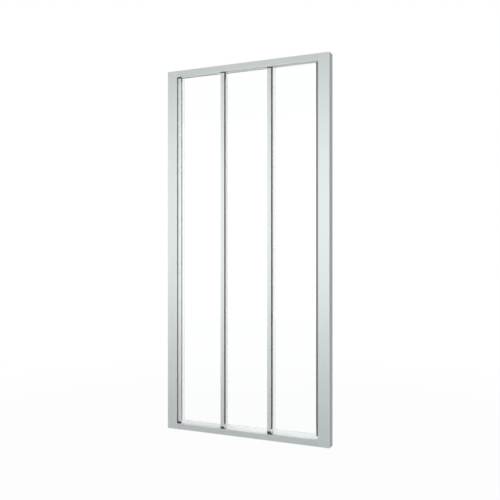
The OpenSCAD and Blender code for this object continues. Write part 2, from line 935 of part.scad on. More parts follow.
// Plate with a tab beside the glazing groove; play widens it into its slot
module hanger_plate(play) {
    plate_x = plate_inset - play;
    tab_w = groove_x - pass_gap - plate_x + play;
    full_low = groove_top + pass_gap - play;
    translate([plate_x, plate_y - play, plate_low - play])
        cube([tab_w, plate_t + 2 * play, full_low - plate_low + play + cut]);
    translate([plate_x, plate_y - play, full_low])
        cube([plate_w + 2 * play, plate_t + 2 * play, wheel_z - full_low]);
}

module hanger() {
    difference() {
        union() {
            hanger_plate(0);
            bar_y(stile_w / 2, plate_y, wheel_z, plate_round_d, plate_t);
        }
        bar_y(stile_w / 2, plate_y - cut, wheel_z, axle_d + 2 * fit_gap, plate_t + 2 * cut);
        bar_y(stile_w / 2, plate_y - cut, hanger_pin_z, pin_d + snug_play, plate_t + 2 * cut);
    }
}

module axle() {
    bar_y(stile_w / 2, plate_y - rivet_t, wheel_z, axle_d, head_y - plate_y + rivet_t + axle_head_t);
    bar_y(stile_w / 2, plate_y - rivet_t, wheel_z, rivet_d, rivet_t - fit_gap);
    bar_y(stile_w / 2, shoulder_y + fit_gap, wheel_z, collar_d, shoulder_t - fit_gap);
    bar_y(stile_w / 2, head_y, wheel_z, collar_d, axle_head_t);
}

module hanger_screw() {
    translate([stile_w / 2, panel_d - head_t, hanger_pin_z])
        rotate([0, 0, -90])
            pan_screw(pin_d, pin_head_d, low_head_t, panel_d - head_t - plate_y);
}

module both_ends(i) {
    at_panel(i) {
        children();
        flip_x(panel_w(i))
            children();
    }
}

module wheel(i, end) {
    groove_half = rail_rib_w / 2 + pass_gap;
    groove_deep = rail_rib_h + pass_gap;
    bevel = 0.4;
    mid = wheel_w / 2;
    color(white_plastic)
        at_panel(i)
            translate([end * (panel_w(i) - stile_w) + stile_w / 2, wheel_y, wheel_z])
                rotate([-90, 0, 0])
                    rotate_extrude()
                        polygon([
                            [bearing_d / 2 + fit_gap, 0],
                            [wheel_r - bevel, 0],
                            [wheel_r, bevel],
                            [wheel_r, mid - groove_half],
                            [wheel_r - groove_deep, mid - groove_half + bevel / 2],
                            [wheel_r - groove_deep, mid + groove_half - bevel / 2],
                            [wheel_r, mid + groove_half],
                            [wheel_r, wheel_w - bevel],
                            [wheel_r - bevel, wheel_w],
                            [bearing_d / 2 + fit_gap, wheel_w]
                        ]);
}

module bearing(i, end) {
    side_cut = 0.3;
    land = 1;
    inner = axle_d / 2 + axle_gap;
    outer = bearing_d / 2;
    color(steel)
        at_panel(i)
            translate([end * (panel_w(i) - stile_w) + stile_w / 2, wheel_y, wheel_z])
                rotate([-90, 0, 0])
                    rotate_extrude()
                        polygon([
                            [inner, 0],
                            [inner + land, 0],
                            [inner + land, side_cut],
                            [outer - land, side_cut],
                            [outer - land, 0],
                            [outer, 0],
                            [outer, wheel_w],
                            [outer - land, wheel_w],
                            [outer - land, wheel_w - side_cut],
                            [inner + land, wheel_w - side_cut],
                            [inner + land, wheel_w],
                            [inner, wheel_w]
                        ]);
}

// Soft magnet strip in the leading panel's closing stile
module leading_magnet_seal() {
    color(white_plastic)
        at_panel(0)
            along_z(stile_low, seal_high)
                translate([-stile_magnet_proud, (panel_d - stile_magnet_w) / 2 + fit_gap])
                    square([stile_magnet_proud + profile_t, stile_magnet_w - 2 * fit_gap]);
}

// One line for each piece
left_jamb();
right_jamb();
left_wall_channel();
right_wall_channel();
header_track();
sill_track();
corner_screws();
jamb_screws();
screw_cover_strips();
jamb_top_caps();
jamb_magnet_seal();
track_buffers();
glass(2);  // fixed_glass
color(aluminium) left_stile(2, stile_low, fixed_top);  // fixed_left_stile
fixed_right_stile();
fixed_bottom_rail();
glazing_gasket(2);  // fixed_glazing_gasket
glazing_bead(2);  // fixed_glazing_bead
fixed_corner_block();
fixed_panel_screws();
glass(0);  // leading_glass
color(aluminium) left_stile(0, stile_low, stile_top);  // leading_left_stile
color(aluminium) right_stile(0, stile_low, stile_top);  // leading_right_stile
color(aluminium) top_rail(0);  // leading_top_rail
color(aluminium) bottom_rail(0);  // leading_bottom_rail
glazing_gasket(0);  // leading_glazing_gasket
glazing_bead(0);  // leading_glazing_bead
leading_magnet_seal();
overlap_seal(0);  // leading_overlap_seal
stop_lugs(0);  // leading_stop_lugs
top_blocks(0);  // leading_top_blocks
guide_blocks(0);  // leading_guide_blocks
color(steel) both_ends(0) hanger();  // leading_hangers
color(steel) both_ends(0) axle();  // leading_axles
color(steel) both_ends(0) hanger_screw();  // leading_hanger_screws
rail_screws(0);  // leading_rail_screws
wheel(0, 0);  // leading_left_wheel
bearing(0, 0);  // leading_left_bearing
wheel(0, 1);  // leading_right_wheel
bearing(0, 1);  // leading_right_bearing
glass(1);  // middle_glass
color(aluminium) left_stile(1, stile_low, stile_top);  // middle_left_stile
color(aluminium) right_stile(1, stile_low, stile_top);  // middle_right_stile
color(aluminium) top_rail(1);  // middle_top_rail
color(aluminium) bottom_rail(1);  // middle_bottom_rail
glazing_gasket(1);  // middle_glazing_gasket
glazing_bead(1);  // middle_glazing_bead
overlap_seal(1);  // middle_overlap_seal
stop_lugs(1);  // middle_stop_lugs
top_blocks(1);  // middle_top_blocks
guide_blocks(1);  // middle_guide_blocks
color(steel) both_ends(1) hanger();  // middle_hangers
color(steel) both_ends(1) axle();  // middle_axles
color(steel) both_ends(1) hanger_screw();  // middle_hanger_screws
rail_screws(1);  // middle_rail_screws
wheel(1, 0);  // middle_left_wheel
bearing(1, 0);  // middle_left_bearing
wheel(1, 1);  // middle_right_wheel
bearing(1, 1);  // middle_right_bearing
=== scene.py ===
# %% [markdown]
# # A sliding shower door, from bare solids to a portrait
# The real object is a frame of satin aluminium profiles that fills an alcove, with three clear
# panes. The right pane is fixed; the other two hang on rollers and slide behind one another.
# Its solids are already exact, each in its own place, so this lesson doesn't build the frame
# again: it gives every piece the finish and the small forms that a solid model leaves out.
# First the imported model is loaded. Nothing may grow out of it.

# %% Load the solids
import math
import random

import bmesh
import bpy
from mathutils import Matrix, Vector


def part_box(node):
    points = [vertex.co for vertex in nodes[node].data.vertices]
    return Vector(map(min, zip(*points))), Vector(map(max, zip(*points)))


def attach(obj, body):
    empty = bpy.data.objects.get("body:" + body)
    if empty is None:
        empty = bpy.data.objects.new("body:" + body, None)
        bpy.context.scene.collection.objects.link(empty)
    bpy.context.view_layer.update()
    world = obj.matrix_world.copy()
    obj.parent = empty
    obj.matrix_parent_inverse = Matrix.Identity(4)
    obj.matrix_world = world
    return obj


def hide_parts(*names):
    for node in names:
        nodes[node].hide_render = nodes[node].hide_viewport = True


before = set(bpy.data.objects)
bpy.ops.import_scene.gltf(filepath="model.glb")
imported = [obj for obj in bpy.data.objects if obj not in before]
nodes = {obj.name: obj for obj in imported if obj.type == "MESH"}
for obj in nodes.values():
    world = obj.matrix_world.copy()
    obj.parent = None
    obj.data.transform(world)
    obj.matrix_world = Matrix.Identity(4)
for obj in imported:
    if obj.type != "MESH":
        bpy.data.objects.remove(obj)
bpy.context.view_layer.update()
scene = bpy.context.scene
MM = 0.001

# %% [markdown]
# ## The camera
# A tall door is photographed from the height of its middle, so that its uprights stay upright
# in the picture. The camera stands in front and to the right, and looks level. Its distance
# and lens were worked out from how much the near jamb is taller than the far one.

# %% Place the camera
EYE = Vector((1.5588, -3.2127, 0.94))
LOOK = Vector((-0.43162, 0.90206, 0.0))
FOCAL_PX = 707.9
FRAME_PX = 500
SENSOR = 36.0

lens = bpy.data.cameras.new("portrait_camera")
lens.sensor_width = SENSOR
lens.lens = FOCAL_PX / FRAME_PX * SENSOR
camera = bpy.data.objects.new("portrait_camera", lens)
camera.location = EYE
camera.rotation_euler = LOOK.to_track_quat("-Z", "Y").to_euler()
scene.collection.objects.link(camera)
scene.camera = camera
scene.view_settings.view_transform = "Standard"
print("lens", round(lens.lens, 2), "mm")

# %% [markdown]
# ## Shader maths that reads like arithmetic
# A finish is a small network of nodes. Wiring it by hand takes three lines for every sum, so
# one class wraps a socket: adding, subtracting or multiplying two of them adds the Math node,
# and one method adds any other node with its settings and its inputs. Colours go through a
# Mix node, because a Math node would turn them grey.

# %% Wrap a socket
class Wire:
    """One output of a shader node, that can be calculated with."""

    def __init__(self, tree, socket):
        self.tree = tree
        self.socket = socket

    @classmethod
    def node(cls, tree, kind, settings=None, inputs=None, output=0):
        """Add a node: its settings first, then plain values or wires for its inputs."""
        made = tree.nodes.new("ShaderNode" + kind)
        for name, value in (settings or {}).items():
            setattr(made, name, value)
        for name, value in (inputs or {}).items():
            if isinstance(value, Wire):
                tree.links.new(value.socket, made.inputs[name])
            else:
                made.inputs[name].default_value = value
        return cls(tree, made.outputs[output] if made.outputs else None)

    def maths(self, operation, first, second):
        return Wire.node(self.tree, "Math", {"operation": operation}, {0: first, 1: second})

    def __add__(self, other):
        return self.maths("ADD", self, other)

    __radd__ = __add__

    def __sub__(self, other):
        return self.maths("SUBTRACT", self, other)

    def __rsub__(self, other):
        return self.maths("SUBTRACT", other, self)

    def __mul__(self, other):
        return self.maths("MULTIPLY", self, other)

    __rmul__ = __mul__


print("sockets can be added, subtracted and multiplied")

# %% Blend two colours
COLOUR_RESULT = 2  # the Mix node keeps one output for each kind of value


def mix_colours(share, first, second):
    """Blend two colours, plain ones or wires, by a value from 0 to 1."""
    first, second = (side if isinstance(side, Wire) else (*side, 1) for side in (first, second))
    return Wire.node(share.tree, "Mix", {"data_type": "RGBA"},
                     {"Factor": share, "A": first, "B": second}, output=COLOUR_RESULT)


print("colours come from output", COLOUR_RESULT, "of a Mix node")

# %% [markdown]
# ## How a finish is put together
# Every finish here is one Principled shader with something that varies: two tones of its
# colour, a roughness that wanders, and a bump that is as fine as the real surface. The
# pattern follows the object's own coordinates in metres, so it has one scale on all pieces
# and travels with a panel when the panel slides.

# %% Start a finish
def new_finish(name):
    """A material with an empty tree; returns the material and its tree."""
    material = bpy.data.materials.new(name)
    material.use_nodes = True
    material.node_tree.nodes.clear()
    return material, material.node_tree


def speckle(tree, grains):
    """Soft noise between 0 and 1, with so many grains in a metre, evenly or for each axis."""
    if isinstance(grains, float):
        grains = (grains, grains, grains)
    here = Wire.node(tree, "TexCoord", output="Object")
    stretched = Wire.node(tree, "VectorMath", {"operation": "MULTIPLY"}, {0: here, 1: grains})
    return Wire.node(tree, "TexNoise", inputs={"Vector": stretched, "Scale": 1.0, "Detail": 2.0,
                                               "Roughness": 0.5})


def shade(tree, constants, colour, roughness, height=None, depth=0.0, strength=0.0):
    """One Principled shader: plain numbers on its sockets, wires where it varies."""
    inputs = dict(constants)
    inputs["Base Color"] = colour
    inputs["Roughness"] = roughness
    if height is not None:
        inputs["Normal"] = Wire.node(
            tree, "Bump", inputs={"Height": height, "Distance": depth, "Strength": strength})
    return Wire.node(tree, "BsdfPrincipled", inputs=inputs)


def finish_with(tree, shader):
    """Lead a shader to the material's output."""
    Wire.node(tree, "OutputMaterial", inputs={"Surface": shader})


print("helpers for finishes are ready")

# %% [markdown]
# ## Painted highlights on the rounded edges
# Rounded edges get a painted highlight: a brighter colour, with more metal and gloss. It could
# be painted by hand, but a mask that is worked out fits every profile: on a flat face one part
# of the normal is 1, on a round none is. A ramp turns what is missing from 1 into a mask.

# %% Find the rounded edges
FLAT_UP_TO, ROUND_FROM = 0.02, 0.16  # what the normal's largest part misses from 1


def ramp(value, start, end):
    """0 below the start, 1 above the end, and a straight slope between."""
    return Wire.node(value.tree, "MapRange",
                     inputs={"Value": value, "From Min": start, "From Max": end})


def on_edges(tree):
    """1 on rounded edges and 0 on flat faces."""
    normal = Wire.node(tree, "TexCoord", output="Normal")
    most = None
    for axis in range(3):
        part = Wire.node(tree, "SeparateXYZ", inputs={"Vector": normal}, output=axis)
        part = part.maths("ABSOLUTE", part, 0.0)
        most = part if most is None else part.maths("MAXIMUM", most, part)
    return ramp(1 - most, FLAT_UP_TO, ROUND_FROM)


print("edges count from", ROUND_FROM)

# %% [markdown]
# ## Satin aluminium
# The profiles are pressed through a die and then anodised. The die leaves very fine lines
# along the profile, and the etching bath turns the metal satin, a little greenish grey. A
# brushed look could come from an anisotropic shader, but that direction is lost in an export.
# Noise drawn out along the profile gives the same quiet lines in colour, gloss and height.

# %% Make satin aluminium
SATIN_LIGHT = (0.762, 0.803, 0.808)
SATIN_DARK = (0.702, 0.748, 0.753)
EDGE_PAINTED_HIGHLIGHT = (0.93, 0.95, 0.95)
SATIN_METAL = 0.15
LINES_ACROSS, LINES_ALONG = 1400.0, 5.0  # in a metre
LINE_DEPTH = 0.00002  # in metres
SATIN_CLOUDS = 9.0  # in a metre
UPRIGHT_AXIS, LEVEL_AXIS = 2, 0


def satin_aluminium(name, long_axis, share):
    """Satin with lines along one axis; the share makes it a little lighter or darker."""
    material, tree = new_finish(name)
    grains = [LINES_ACROSS] * 3
    grains[long_axis] = LINES_ALONG
    lines = speckle(tree, grains)
    clouds = speckle(tree, SATIN_CLOUDS)
    edges = on_edges(tree) * (0.6 + 0.4 * clouds)
    tone = lines * 0.5 + clouds * 0.5
    flat = mix_colours(tone, [v * share for v in SATIN_DARK], [v * share for v in SATIN_LIGHT])
    # rounded edges are painted with a highlight colour
    colour = mix_colours(edges, flat, EDGE_PAINTED_HIGHLIGHT)
    roughness = 0.42 + 0.08 * lines + 0.08 * clouds - 0.14 * edges
    metal = SATIN_METAL + 0.6 * edges
    finish_with(tree, shade(tree, {"Metallic": metal, "Specular IOR Level": 0.35}, colour,
                            roughness, lines, LINE_DEPTH, 0.25))
    return material


upright_satin = satin_aluminium("satin_aluminium_upright", UPRIGHT_AXIS, 1.01)
level_satin = satin_aluminium("satin_aluminium_level", LEVEL_AXIS, 0.96)
print("satin aluminium for", upright_satin.name, "and", level_satin.name)

# %% [markdown]
# ## Plain and polished metals
# The wall channels are hidden once the door hangs, so they stay as the mill made them, with
# coarser die lines. Their grey is partly the mill's own and partly painted shade for the outer
# side. The bottom rails and the nose of the closing stile are polished. The front panel's rail
# has a greyer copy of the polish, which is painted shade. A true mirror would only show the dark
# sill below it, so the polish has a broad gloss, which keeps a rail as even and bright as the
# real one. Hangers, axles and screws are bright steel. One recipe with two tones makes them all.

# %% Make the plain metals
METAL_PATCHES = 60.0  # in a metre
METAL_DEPTH = 0.00003  # in metres
UPRIGHT_LINES, LEVEL_LINES = (700.0, 700.0, 8.0), (8.0, 700.0, 700.0)
FINE_GRAIN = 900.0
POLISH_BUMP = 0.05
# the mill's grey, darkened further as painted shade for the outer side
MILL_AND_PAINTED_SHADE_TONES = (0.39, 0.41, 0.42), (0.48, 0.50, 0.51)
BRIGHT_TONES = (0.90, 0.915, 0.915), (0.94, 0.95, 0.95)
# greyer tones; on the front panel's rail they are painted shade
GREYER_POLISH_TONES = (0.80, 0.815, 0.815), (0.86, 0.87, 0.87)
STEEL_TONES = (0.50, 0.51, 0.52), (0.66, 0.67, 0.68)


def plain_metal(name, tones, roughness, grains, bump=0.2, metal=1.0):
    """Metal of two tones with lines or grain, and patches that differ in gloss."""
    material, tree = new_finish(name)
    grain = speckle(tree, grains)
    patches = speckle(tree, METAL_PATCHES)
    colour = mix_colours(grain * 0.6 + patches * 0.4, *tones)
    gloss = roughness - 0.05 + 0.12 * patches
    finish_with(tree, shade(tree, {"Metallic": metal}, colour, gloss, grain, METAL_DEPTH, bump))
    return material


# partly mill grey, partly painted shade on the wall channels' outer side
mill_aluminium = plain_metal("mill_finish_and_painted_shade", MILL_AND_PAINTED_SHADE_TONES, 0.46, UPRIGHT_LINES, metal=0.6)
bright_polish = plain_metal("bright_polish", BRIGHT_TONES, 0.78, LEVEL_LINES, POLISH_BUMP)
# a greyer copy of the polish, painted shade on the front panel's rail
painted_shade_polish = plain_metal("painted_shade_polish", GREYER_POLISH_TONES, 0.78, LEVEL_LINES, POLISH_BUMP)
nose_polish = plain_metal("nose_polish", GREYER_POLISH_TONES, 0.55, UPRIGHT_LINES, POLISH_BUMP, 0.75)
bright_steel = plain_metal("bright_steel", STEEL_TONES, 0.26, FINE_GRAIN)
print("metals:", mill_aluminium.name, bright_polish.name, bright_steel.name)

# %% [markdown]
# ## Plastics and soft vinyl
# Corner blocks, stop lugs and guides are moulded from a dark, glass-filled plastic with a fine
# spark-eroded grain. Rollers and caps are smoother, strips and sleeves are soft vinyl, and the
# pile of a brush is the roughest. They differ only in tone, gloss and grain, so one recipe
# with a few numbers each is easier to tune than eight networks.

# %% Write the recipe for mouldings
MOULD_CLOUDS = 35.0  # in a metre
GRAIN_DEPTH = 0.00008  # in metres


def moulded(name, dark, light, roughness, grains, bump, constants=None):
    """Plastic or vinyl of two tones, with so many grains in a metre."""
    material, tree = new_finish(name)
    grain = speckle(tree, grains)
    clouds = speckle(tree, MOULD_CLOUDS)
    colour = mix_colours(grain * 0.5 + clouds * 0.5, dark, light)
    gloss = roughness - 0.04 + 0.08 * grain
    finish_with(tree, shade(tree, constants or {}, colour, gloss, grain, GRAIN_DEPTH, bump))
    return material


print("a moulded grain is", GRAIN_DEPTH / MM, "mm deep")

# %% Make the moulded finishes
dark_plastic = moulded(
    "dark_moulded_plastic", (0.014, 0.018, 0.018), (0.026, 0.032, 0.031), 0.55, 1500.0, 0.35,
    {"Specular IOR Level": 0.35})
guide_plastic = moulded(
    "dark_guide_plastic", (0.065, 0.072, 0.072), (0.10, 0.11, 0.11), 0.5, 1500.0, 0.35)
# near-black vinyl that paints shade on the stiles' sides and beside the glass
painted_shade_vinyl = moulded(
    "near_black_painted_shade", (0.010, 0.012, 0.012), (0.018, 0.021, 0.021), 0.5, 900.0, 0.15,
    {"Specular IOR Level": 0.1})
cap_plastic = moulded(
    "grey_cap_plastic", (0.40, 0.42, 0.42), (0.47, 0.49, 0.49), 0.48, 1500.0, 0.3)
grey_vinyl = moulded(
    "grey_glazing_vinyl", (0.165, 0.17, 0.17), (0.21, 0.215, 0.215), 0.45, 900.0, 0.15)
magnet_strip = moulded(
    "magnet_strip_vinyl", (0.09, 0.095, 0.10), (0.135, 0.14, 0.145), 0.5, 500.0, 0.15,
    {"Specular IOR Level": 0.2})
pile_grey = moulded(
    "grey_pile", (0.20, 0.205, 0.21), (0.33, 0.335, 0.34), 0.85, 2500.0, 0.4,
    {"Sheen Weight": 0.4})
white_nylon = moulded(
    "white_moulded_nylon", (0.72, 0.71, 0.68), (0.80, 0.795, 0.77), 0.42, 700.0, 0.15,
    {"Subsurface Weight": 0.1, "Subsurface Scale": 0.002})
print("moulded finishes are ready")

# %% [markdown]
# ## Rubber of the glazing gaskets
# A gasket runs round each pane. It is pale at the foot. Under the header its tone is painted
# shade, dark where the light stays out. The piece could be cut into three, but it is one on
# the real door, so the tone follows the height above the floor instead.

# %% Make the gasket rubbers
PALE_FOOT_ZONE = (0.05, 0.12)  # heights in metres over which one tone turns into the next
SHADE_ZONE = (1.80, 1.83)
PALE_GASKET, GASKET_PAINTED_SHADE = (0.72, 0.73, 0.73), (0.045, 0.047, 0.047)


def gasket_rubber(name, side):
    """Rubber that is pale at the foot, painted with shade at the head, and its own tone between.
    """
    material, tree = new_finish(name)
    grain = speckle(tree, FINE_GRAIN)
    here = Wire.node(tree, "TexCoord", output="Object")
    height = Wire.node(tree, "SeparateXYZ", inputs={"Vector": here}, output="Z")
    above_pale_foot = ramp(height, *PALE_FOOT_ZONE)
    in_shade = ramp(height, *SHADE_ZONE)
    # the top of every gasket is painted dark as shade under the header
    tone = mix_colours(in_shade, mix_colours(above_pale_foot, PALE_GASKET, side), GASKET_PAINTED_SHADE)
    finish_with(tree, shade(tree, {}, tone, 0.64 + 0.08 * grain, grain, GRAIN_DEPTH, 0.3))
    return material


rubber = gasket_rubber("grey_rubber", (0.33, 0.335, 0.335))
pale_rubber = gasket_rubber("pale_rubber", PALE_GASKET)
dark_rubber = gasket_rubber("dark_rubber", (0.12, 0.125, 0.125))
print("gaskets turn dark from", SHADE_ZONE[0], "to", SHADE_ZONE[1], "m")

# %% [markdown]
# ## Clear glass
# Toughened glass 4 mm thick is nearly colourless. A glass shader alone would shade whatever
# stands behind it, because lamps can't find their way through it, so a Mix Shader lets light
# from lamps pass by a Transparent shader.

# %% Make the glass
GLASS_TONES = (0.985, 0.995, 0.992), (0.99, 0.998, 0.996)
LAMP_PASSES = (0.96, 0.975, 0.97, 1)
GLASS_CLOUDS = 14.0
GLASS_IOR = 1.5


def mix_shaders(share, first, second):
    """The first shader where the share is 0, the second where it is 1."""
    return Wire.node(share.tree, "MixShader", inputs={0: share, 1: first, 2: second})


clear_glass, tree = new_finish("clear_safety_glass")
glass = shade(tree, {"Transmission Weight": 1.0, "IOR": GLASS_IOR},
              mix_colours(speckle(tree, GLASS_CLOUDS), *GLASS_TONES), 0.0)
for_lamps = Wire.node(tree, "LightPath", output="Is Shadow Ray")
passing = Wire.node(tree, "BsdfTransparent", inputs={"Color": LAMP_PASSES})
finish_with(tree, mix_shaders(for_lamps, glass, passing))
print("glass with an index of", GLASS_IOR)

# %% [markdown]
# ## Clear vinyl
# The bead in front of a pane is soft clear vinyl, milkier than glass. Its lip is a greyer, less
# clear copy, which paints the fine grey line of shade at the bead's edge. The bead is so thin
# that
# bending the light would only cost time: most of it goes straight through a Transparent shader,
# and the rest is a soft gloss.

# %% Make the clear vinyls
VINYL_PASSES = (0.985, 0.995, 0.992, 1)
VINYL_CLOUDS = (40.0, 40.0, 12.0)


def thin_vinyl(name, tones, clear_share):
    """Vinyl that lets a share of the light straight through."""
    material, tree = new_finish(name)
    clouds = speckle(tree, VINYL_CLOUDS)
    gloss = shade(tree, {}, mix_colours(clouds, *tones), 0.22 + 0.1 * clouds)
    through = Wire.node(tree, "BsdfTransparent", inputs={"Color": VINYL_PASSES})
    finish_with(tree, mix_shaders(clear_share + 0.06 * clouds, gloss, through))
    return material


clear_bead = thin_vinyl("clear_soft_vinyl", ((0.88, 0.9, 0.895), (0.95, 0.97, 0.965)), 0.88)
# greyer, less clear vinyl that paints the line of shade at the bead's lip
bead_lip_painted_shade = thin_vinyl("clear_vinyl_edge", ((0.6, 0.62, 0.62), (0.7, 0.72, 0.72)), 0.3)
print("clear vinyls:", clear_bead.name, bead_lip_painted_shade.name)

# %% [markdown]
# ## Each node gets its finish
# The record names a material slot for every node. One table turns slots into finishes; only
# the satin has two, because its lines run along the profile, up a stile but across a rail.
# A second table holds the few nodes that look different from the rest of their slot.

# %% Choose the finishes
FINISH_OF_SLOT = {
    "aluminium": upright_satin,
    "mill_aluminium": mill_aluminium,
    "polished_aluminium": bright_polish,
    "clear_glass": clear_glass,
    "clear_bead": clear_bead,
    "dark_plastic": dark_plastic,
    "grey_vinyl": grey_vinyl,
    "cap_plastic": cap_plastic,
    "rubber": rubber,
    "magnet_seal": magnet_strip,
    "brush_seal": pile_grey,
    "white_nylon": white_nylon,
    "steel": bright_steel,
}
LEVEL_ENDINGS = ("rail", "track")
OWN_FINISH = {
    "leading_guide_blocks": guide_plastic,
    "middle_guide_blocks": guide_plastic,
    "fixed_corner_block": guide_plastic,
    # the front panel's rail is painted with shade by a greyer polish
    "leading_bottom_rail": painted_shade_polish,
    "fixed_glazing_gasket": dark_rubber,
    "middle_glazing_gasket": pale_rubber,
}
print(len(FINISH_OF_SLOT), "slots, and", len(OWN_FINISH), "nodes with a finish of their own")

# %% Dress the nodes
for name, node in nodes.items():
    for slot in node.material_slots:
        finish = FINISH_OF_SLOT[slot.material.name.split(".")[0]]
        if finish is upright_satin and name.endswith(LEVEL_ENDINGS):
            finish = level_satin
        slot.material = OWN_FINISH.get(name, finish)
print("dressed", len(nodes), "nodes")

# %% [markdown]
# ## Broken edges
# No real profile has a perfectly sharp edge: the die rounds it and the saw cut is deburred.
# Light catches on that small round, and without it metal looks like paper. The solids carry
# the larger rounds already. A Bevel modifier adds the small ones and leaves the mesh alone;
# a Weld before it joins the doubled corners that the file format needs.

# %% Choose the widths of the edges
EDGE_OF_FINISH = {  # in millimetres; soft pieces keep their edges
    "satin_aluminium_upright": 0.25,
    "satin_aluminium_level": 0.25,
    "mill_finish_and_painted_shade": 0.15,
    "bright_polish": 0.25,
    "painted_shade_polish": 0.25,
    "clear_safety_glass": 0.4,
    "dark_moulded_plastic": 0.3,
    "dark_guide_plastic": 0.3,
    "grey_glazing_vinyl": 0.3,
    "grey_cap_plastic": 0.4,
    "white_moulded_nylon": 0.25,
    "bright_steel": 0.12,
}
print("edges from", min(EDGE_OF_FINISH.values()), "to", max(EDGE_OF_FINISH.values()), "mm")

# %% Break the edges
WELD_REACH = 0.000002  # in metres
SHARP_ANGLE = 35  # in degrees


def break_edges(piece, width):
    """Join doubled corners, then round every sharp edge by a width in millimetres."""
    weld = piece.modifiers.new("join corners", "WELD")
    weld.merge_threshold = WELD_REACH
    bevel = piece.modifiers.new("broken edge", "BEVEL")
    bevel.width = width * MM
    bevel.segments = 2
    bevel.limit_method = "ANGLE"
    bevel.angle_limit = math.radians(SHARP_ANGLE)
    bevel.miter_outer = "MITER_ARC"
    bevel.use_clamp_overlap = True
    bevel.harden_normals = False
    piece.modifiers.new("even shading", "WEIGHTED_NORMAL").keep_sharp = True


for name, node in nodes.items():
    width = EDGE_OF_FINISH.get(node.material_slots[0].material.name)
    if width:
        break_edges(node, width)
print("edges broken on", sum(len(node.modifiers) > 0 for node in nodes.values()), "nodes")

# %% [markdown]
# ## Building profiles by hand
# Seals, beads and edge strips are extruded too, but from soft vinyl, with lips and rounds that
# a solid model leaves out. A Blender curve with a bevel object could make them; a loft written
# in mesh code is easier to control, because each level of the strip can have its own outline.
# Outlines are in millimetres and start from the box of the piece that carries the strip.

# %% Measure and place a piece
def box_mm(node):
    """The corners of a node's box in millimetres."""
    low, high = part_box(node)
    return [v / MM for v in low], [v / MM for v in high]


def place_piece(name, mesh, finish, body):
    """Turn a mesh's faces outwards, dress it and let it ride on a body."""
    work = bmesh.new()
    work.from_mesh(mesh)
    bmesh.ops.recalc_face_normals(work, faces=work.faces)
    work.to_mesh(mesh)
    work.free()
    mesh.materials.append(finish)
    piece = bpy.data.objects.new(name, mesh)
    scene.collection.objects.link(piece)
    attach(piece, body)
    return piece


low, high = box_mm("leading_glass")
print("the leading pane is", round(high[0] - low[0], 1), "mm wide")

# %% Loft an outline
def loft(name, rings, finish, body):
    """Join closed rings of points, given in millimetres, into one closed piece."""
    mesh = bpy.data.meshes.new(name)
    count = len(rings[0])
    points = [tuple(value * MM for value in point) for ring in rings for point in ring]
    faces = []
    for base in range(0, (len(rings) - 1) * count, count):
        for i in range(count):
            j = (i + 1) % count
            faces.append((base + i, base + j, base + count + j, base + count + i))
    faces.append(tuple(reversed(range(count))))
    faces.append(tuple(range((len(rings) - 1) * count, len(rings) * count)))
    mesh.from_pydata(points, [], faces)
    return place_piece(name, mesh, finish, body)


def upright(outline, low, high):
    """Two rings: the same outline over X and Y at two heights."""
    return [[(x, y, z) for x, y in outline] for z in (low, high)]


print("profiles can be lofted")

# %% [markdown]
# ## Painted shade strips on the closing sides
# A thin vinyl strip lies on the outer side of each sliding panel's right stile, where the next
# pane passes. Its near-black colour is painted shade. Seen from the front it is the dark line of
# shade beside each bright stile. It is only 0.6 mm thick and ends above the bottom rail, where a
# small polished plate covers the joint of stile and block. A plain box would be too sharp, so
# both are crowned: a short list says how they rise from one edge, and the other edge mirrors it.

# %% Clip on the edge strips
PANELS = ("leading", "middle")
PROUD, SUNK = 0.6, 0.1  # out of the stile's side, and into it
STRIP_SPAN, PLATE_SPAN = (0.5, 10.2), (0.4, 10.8)  # from the panel's front
PLATE_HEIGHTS = (31.0, 51.0)
END_GAP, TOP_GAP = 0.2, 0.5
STRIP_CROWN = ((0.0, -SUNK), (0.0, 0.3), (0.3, 0.52), (1.0, PROUD))  # in from the edge, rise
PLATE_CROWN = ((0.0, -SUNK), (0.0, 0.35), (0.3, PROUD))


def crowned(start, end, crown):
    """Places from one edge of a strip to the other, each with its rise."""
    return ([(start + step, rise) for step, rise in crown]
            + [(end - step, rise) for step, rise in reversed(crown)])


for panel in PANELS:
    low, high = box_mm(panel + "_right_stile")
    strip, plate = (
        [(high[0] + rise, y) for y, rise in crowned(low[1] + span[0], low[1] + span[1], crown)]
        for span, crown in ((STRIP_SPAN, STRIP_CROWN), (PLATE_SPAN, PLATE_CROWN)))
    # the strip's near-black vinyl paints the shade on the stile's side
    loft(panel + "_painted_shade_strip", upright(strip, PLATE_HEIGHTS[1] + END_GAP, high[2] - TOP_GAP),
         painted_shade_vinyl, panel + "_panel")
    loft(panel + "_end_plate", upright(plate, *PLATE_HEIGHTS), bright_polish,
         panel + "_panel")
print("two edge strips of", PROUD, "mm, and their end plates")

# %% [markdown]
# ## The cap at the top of the closing stile
# The stile that closes against the jamb gets a dark moulded cap over its upper end, with a
# short tail down the glass side. It is a flat bent shape with one inner round, so it is drawn
# as an outline over X and Z, and its small depth comes from three layers, the last a little
# smaller to soften the face.

# %% Mould the corner cap
CAP_DROP, CAP_RISE = 1.6, 4.4  # below and above the stile's end
CAP_START, CAP_OVER, CAP_CORNER = 0.2, 0.9, 1.5
TAIL_W, TAIL_L, TAIL_R, TAIL_POINT = 1.9, 22.0, 4.0, 0.5
LAYERS = ((0.5, 0.0, 0.0), (-0.2, 0.0, 0.0), (-0.35, 0.15, 0.1))  # over Y, drawn in over X and Z

